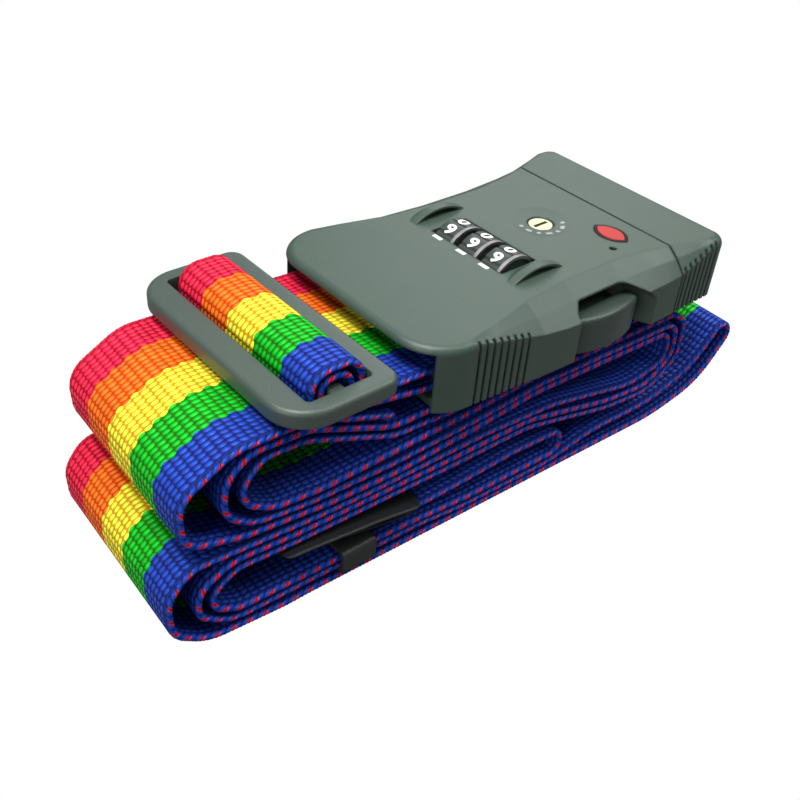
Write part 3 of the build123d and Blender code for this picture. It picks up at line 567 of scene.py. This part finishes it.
def follow(route, step):
    """Evenly spaced points of a line with rounded corners.

    Gives each point's distance along the line, and its X, Z and corner number. A point on the
    straight run before a corner has that corner's number less a half.
    """
    corners = [np.array(corner[:2]) for corner in route]
    line = []
    previous = corners[0]
    for i in range(1, len(route) - 1):
        corner, radius = corners[i], route[i][2]
        before = unit(corner - corners[i - 1])
        after = unit(corners[i + 1] - corner)
        turn = math.atan2(before[0] * after[1] - before[1] * after[0], before @ after)
        cut = radius * math.tan(abs(turn) / 2)
        start = corner - before * cut
        side = math.copysign(1.0, turn)
        centre = start + side * radius * np.array([-before[1], before[0]])
        for share in np.arange(0, 1, STRAIGHT_SHARE):
            line.append((*(previous + (start - previous) * share), i - 0.5))
        count = max(ARC_POINTS_MIN, int(abs(turn) * radius / ARC_STEP))
        spoke = start - centre
        for k in range(count):
            a = turn * k / count
            turned = np.array([spoke[0] * math.cos(a) - spoke[1] * math.sin(a),
                               spoke[0] * math.sin(a) + spoke[1] * math.cos(a)])
            line.append((*(centre + turned), float(i)))
        previous = corner + after * cut
    for share in np.linspace(0, 1, LAST_RUN_POINTS):
        line.append((*(previous + (corners[-1] - previous) * share), len(route) - 1.5))
    line = np.array(line)
    steps = np.linalg.norm(np.diff(line[:, :2], axis=0), axis=1)
    reach = np.concatenate([[0], np.cumsum(steps)])
    s = np.arange(0, reach[-1], step)
    return s, np.stack([np.interp(s, reach, line[:, k]) for k in range(3)], axis=1)


def headings(line):
    """Direction of a followed line at each of its points, in the X-Z plane."""
    ahead = np.gradient(line[:, :2], axis=0)
    return ahead / np.linalg.norm(ahead, axis=1)[:, None]


def web_section():
    """Closed outline of the strap: side offset, height, and weave position across."""
    half, t = WEB_WIDTH / 2, WEB_T / 2
    flat = half - EDGE_CAP
    outline = []
    for y in np.linspace(flat, -flat, FACE_POINTS):
        outline.append((y, t, half - y))
    for a in np.linspace(0, math.pi, EDGE_POINTS + 2)[1:-1]:
        outline.append((-flat - EDGE_CAP * math.sin(a), t * math.cos(a),
                        WEB_WIDTH - EDGE_CAP + EDGE_WRAP * a / math.pi))
    for y in np.linspace(-flat, flat, FACE_POINTS):
        outline.append((y, -t, half - y))
    for a in np.linspace(math.pi, 0, EDGE_POINTS + 2)[1:-1]:
        outline.append((flat + EDGE_CAP * math.sin(a), t * math.cos(a),
                        EDGE_CAP - EDGE_WRAP * a / math.pi))
    return outline


def strip_weave(j, vs):
    """Weave position at the two sides of one lengthwise strip of faces.

    The underside repeats the top's weave, so the position jumps under each edge.
    """
    if j == FACE_POINTS + EDGE_POINTS - 1:
        return vs[j], NEAR_WRAP_V
    if j == 2 * FACE_POINTS + EDGE_POINTS - 1:
        return vs[j], FAR_WRAP_V
    return vs[j], vs[(j + 1) % len(vs)]


def lean(x, y, z):
    """Shift of the wound layers along X and Y, fading out towards the slider and buckle."""
    low = clamp((SKEW_TOP_Z - z) / FADE_Z)
    left = clamp((SKEW_LEFT_X - x) / FADE_X)
    aside = clamp((LEAN_TOP_Z - z) / FADE_Z)
    dx = SKEW * (y + WEB_WIDTH / 2) * max(low, left)
    dy = -LEAN * max(x - LEAN_X, 0.0) * aside
    return dx, dy


PATH_S, PATH = follow(ROUTE, ROW / 4)


def mark(run, x):
    """Number of the path's point where one run of the route passes a given X."""
    on_run = np.flatnonzero(np.abs(PATH[:, 2] - run - 0.5) < RUN_TOLERANCE)
    return int(on_run[np.argmin(np.abs(PATH[on_run, 0] - x))])


def webbing(name, low, high):
    """One visible stretch of the strap between two of the path's points, and its length."""
    s, line = PATH_S[low:high + 1], PATH[low:high + 1]
    ahead = headings(line)
    outline = web_section()
    ring = len(outline)
    points, faces, uvs = [], [], []
    for k in range(len(s)):
        x, z = line[k, 0], line[k, 1]
        nx, nz = -ahead[k, 1], ahead[k, 0]
        beat = abs(math.sin(math.pi * s[k] / ROW)) - BEAD_MEAN
        for y, h, _ in outline:
            edge = clamp(abs(y) - BEAD_START)
            swell = 1.0 + BEAD_SWELL * edge * beat
            side = y + math.copysign(BEAD_REACH * edge * beat, y)
            dx, dy = lean(x, y, z)
            points.append((x + nx * h * swell + dx, side + dy, z + nz * h * swell))
    vs = [v for _, _, v in outline]
    for k in range(len(s) - 1):
        for j in range(ring):
            nxt = (j + 1) % ring
            faces.append((k * ring + j, k * ring + nxt,
                          (k + 1) * ring + nxt, (k + 1) * ring + j))
            v0, v1 = strip_weave(j, vs)
            uvs += [(s[k], v0), (s[k], v1), (s[k + 1], v1), (s[k + 1], v0)]
    for end, order in ((0, range(ring)[::-1]), (len(s) - 1, range(ring))):
        faces.append(tuple(end * ring + j for j in order))
        uvs += [(s[end], vs[j]) for j in order]
    obj = add_mesh(name, points, faces, WEBBING)
    layer = obj.data.uv_layers.new(name="weave")
    layer.data.foreach_set("uv", np.array(uvs, float).ravel())
    return obj, float(s[-1] - s[0])


def sheet_swell(rim):
    """Half thickness of a tag sheet at a distance from its edge."""
    if rim > RIM:
        return TAG_SWELL
    return WELD_SWELL if WELD[0] < rim < WELD[1] else RIM_SWELL


def corner_inset(run):
    """How far a tag sheet's rounded corner cuts in, at a distance from the sheet's end."""
    if run >= TAG_CORNER:
        return 0.0
    return TAG_CORNER - math.sqrt(max(TAG_CORNER ** 2 - (TAG_CORNER - run) ** 2, 0))


def wrinkle(y, k):
    """Height of a tag sheet's wrinkles, at a distance across and a step along."""
    (per_mm, middle), (per_step, start) = WRINKLE_ACROSS, WRINKLE_ALONG
    return WRINKLE * math.sin(y * per_mm + middle) * math.sin(k * per_step + start)


def sleeve(name, route, node, aside):
    """One black vinyl sheet of the tag sleeve, with rounded corners and a welded rim."""
    s, line = follow(route, TAG_STEP)
    ahead = headings(line)
    across = np.linspace(-TAG_HALF, TAG_HALF, TAG_COLUMNS)
    rows, n = len(s), len(across)
    points, faces = [], []
    for side in (1, -1):
        for k in range(rows):
            inset = corner_inset(min(k, rows - 1 - k) * TAG_STEP)
            for y in across:
                swell = sheet_swell(min(TAG_HALF - abs(y), s[k], s[-1] - s[k]))
                h = side * swell + wrinkle(y, k)
                yy = max(min(y, TAG_HALF - inset), inset - TAG_HALF)
                dx, dy = lean(line[k, 0], yy, line[k, 1])
                points.append((line[k, 0] - ahead[k, 1] * h + dx, yy + dy - aside,
                               line[k, 1] + ahead[k, 0] * h))
    under = rows * n      # first point of the underside
    for k in range(rows - 1):
        for j in range(n - 1):
            a = k * n + j
            b = under + a
            faces.append((a, a + n, a + n + 1, a + 1))
            faces.append((b, b + 1, b + n + 1, b + n))
    for k in range(rows - 1):
        for j in (0, n - 1):
            a = k * n + j
            b = under + a
            faces.append((a, b, b + n, a + n) if j == 0 else (a, a + n, b + n, b))
    for j in range(n - 1):
        for k in (0, rows - 1):
            a = k * n + j
            b = under + a
            faces.append((a, a + 1, b + 1, b) if k == 0 else (a, b, b + 1, a + 1))
    obj = add_mesh(name, points, faces, VINYL)
    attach(obj, "strap")
    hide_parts(node)


def text_mesh(word, size):
    """Flat outline of a character as a mesh, centred on its own middle, in millimetres."""
    curve = bpy.data.curves.new("digit_outline", "FONT")
    curve.body = word
    curve.size = size
    curve.offset = DIGIT_BOLD
    curve.resolution_u = DIGIT_RESOLUTION
    curve.align_x = "CENTER"
    curve.align_y = "CENTER"
    holder = add_object("digit_outline", curve)
    bpy.context.view_layer.update()
    graph = bpy.context.evaluated_depsgraph_get()
    mesh = bpy.data.meshes.new_from_object(holder.evaluated_get(graph))
    points = [tuple(v.co) for v in mesh.vertices]
    faces = [tuple(f.vertices) for f in mesh.polygons]
    bpy.data.objects.remove(holder)
    bpy.data.meshes.remove(mesh)
    mid_x = (min(p[0] for p in points) + max(p[0] for p in points)) / 2
    mid_y = (min(p[1] for p in points) + max(p[1] for p in points)) / 2
    return [(p[0] - mid_x, p[1] - mid_y) for p in points], faces


def wheel_digits(name, y0, body):
    """White digits printed round one wheel, tops towards the plug."""
    points, faces = [], []
    radius = WHEEL_R + DIGIT_LIFT
    for digit in range(10):
        flat, polys = text_mesh(str(digit), DIGIT_SIZE)
        base = len(points)
        for px, py in flat:
            a = math.radians(DIGIT_START + DIGIT_PITCH * digit) + py / radius
            points.append((WHEEL_X + radius * math.sin(a),
                           y0 + DIGIT_ASIDE - px * DIGIT_STRETCH,
                           WHEEL_Z + radius * math.cos(a)))
        faces += [tuple(base + i for i in f) for f in polys]
    obj = add_mesh(name, points, faces, INK, smooth=False)
    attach(obj, body)


def index_marks():
    """Short white dashes on the housing beside the wheels."""
    points, faces = [], []
    left, right = INDEX_X
    for y in INDEX_YS:
        base = len(points)
        low, high = y - INDEX_HALF, y + INDEX_HALF
        for x, yy in ((left, low), (right, low), (right, high), (left, high)):
            points.append((x, yy, TOP_Z + PRINT_LIFT))
        faces.append(tuple(base + i for i in range(4)))
    obj = add_mesh("index_marks", points, faces, INK, smooth=False)
    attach(obj, "strap")


def key_marks():
    """Plain printed dashes in an arc round the key, lying in its dish."""
    points, faces = [], []
    bowl = (DISH_R ** 2 + DISH_DEPTH ** 2) / (2 * DISH_DEPTH)
    for i in range(KEY_MARKS):
        middle = math.radians(KEY_MARK_START + i * KEY_MARK_PITCH)
        half = math.radians(KEY_MARK_HALVES[i % 2])
        base = len(points)
        for k in range(KEY_MARK_STEPS + 1):
            a = middle - half + 2 * half * k / KEY_MARK_STEPS
            for r in KEY_MARK_R:
                z = TOP_Z - DISH_DEPTH + bowl - math.sqrt(bowl ** 2 - r * r) + PRINT_LIFT
                points.append((KEY_X + r * math.cos(a), KEY_Y + r * math.sin(a), z))
        for k in range(KEY_MARK_STEPS):
            j = base + 2 * k
            faces.append((j, j + 1, j + 3, j + 2))
    obj = add_mesh("key_ring_marks", points, faces, GREY_INK, smooth=False)
    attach(obj, "strap")


# ------------------------------------------------------------------ studio
def light(name, place, size, power, aim):
    """Square area light that faces a point."""
    data = bpy.data.lights.new(name, "AREA")
    data.shape = "RECTANGLE"
    data.size = data.size_y = size
    data.energy = power
    lamp = add_object(name, data)
    lamp.location = place
    lamp.rotation_euler = (Vector(aim) - Vector(place)).to_track_quat("-Z", "Y").to_euler()


def studio_floor():
    """Flat floor well past the camera's view."""
    mesh = bpy.data.meshes.new("studio_floor")
    r = FLOOR_HALF
    mesh.from_pydata([(-r, -r, 0), (r, -r, 0), (r, r, 0), (-r, r, 0)], [], [(0, 1, 2, 3)])
    mesh.materials.append(floor_material())
    floor = add_object("studio_floor", mesh)


def studio_world():
    """White surroundings that the camera sees brighter than they light."""
    world = bpy.data.worlds.new("studio_world")
    bpy.context.scene.world = world
    world.use_nodes = True
    tree = world.node_tree
    path = tree.nodes.new("ShaderNodeLightPath")
    level = tree.nodes.new("ShaderNodeMapRange")
    level.inputs["To Min"].default_value = WORLD_LIGHT
    level.inputs["To Max"].default_value = WORLD_SEEN
    tree.links.new(path.outputs["Is Camera Ray"], level.inputs["Value"])
    background = tree.nodes["Background"]
    background.inputs["Color"].default_value = (1.0, 1.0, 1.0, 1.0)
    tree.links.new(level.outputs["Result"], background.inputs["Strength"])


def studio_camera():
    """Camera at the photograph's viewing angle."""
    data = bpy.data.cameras.new("camera")
    data.sensor_width = SENSOR_MM
    data.lens = LENS_MM
    data.clip_start = CLIP_START
    cam = add_object("camera", data)
    right = Vector(CAMERA_RIGHT).normalized()
    back = Vector(CAMERA_BACK).normalized()
    up = back.cross(right).normalized()
    right = up.cross(back)
    turn = Matrix((right, up, back)).transposed().to_4x4()
    cam.matrix_world = Matrix.Translation(CAMERA_PLACE) @ turn
    bpy.context.scene.camera = cam


def studio():
    """Pale floor, white surroundings, soft lights and the camera."""
    studio_floor()
    studio_world()
    for entry in LIGHTS:
        light(*entry)
    studio_camera()
    bpy.context.scene.view_settings.view_transform = "Standard"


# ---------------------------------------------------------------- assembly
dress_cad()
ENTER = mark(PLUG_RUN_IN, PLUG_CUT_X)
LEAVE = mark(PLUG_RUN_OUT, PLUG_CUT_X)
start, start_len = webbing("strap_start", 0, ENTER)
middle, middle_len = webbing("strap_plug_stretch", ENTER, LEAVE)
end, end_len = webbing("strap_end", LEAVE, len(PATH_S) - 1)
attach(start, "strap")
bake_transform(middle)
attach(end, "strap")
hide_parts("webbing_root_loop", "webbing_buckle_loop", "webbing_slider_arch",
            "webbing_coil_a", "webbing_span_a", "webbing_fold_a", "webbing_span_d",
            "webbing_coil_d", "webbing_floor_span", "webbing_fold_d", "webbing_span_e",
            "webbing_coil_e", "webbing_span_f", "webbing_fold_b", "webbing_span_b",
            "webbing_coil_b")
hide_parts("webbing_plug_loop", "webbing_span_c")
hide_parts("webbing_coil_c", "webbing_span_g", "webbing_fold_c", "webbing_span_h",
            "webbing_coil_g", "webbing_span_k", "webbing_fold_tail", "webbing_free_tail")
sleeve("tag_sheet_upper", TAG_UPPER, "tag_sleeve_upper", TAG_ASIDE_UPPER)
sleeve("tag_sheet_lower", TAG_LOWER, "tag_sleeve_lower", TAG_ASIDE_LOWER)
for number, (y, body) in enumerate(WHEEL_ROWS, start=1):
    wheel_digits("wheel_digits_%d" % number, y, body)
index_marks()
key_marks()
studio()
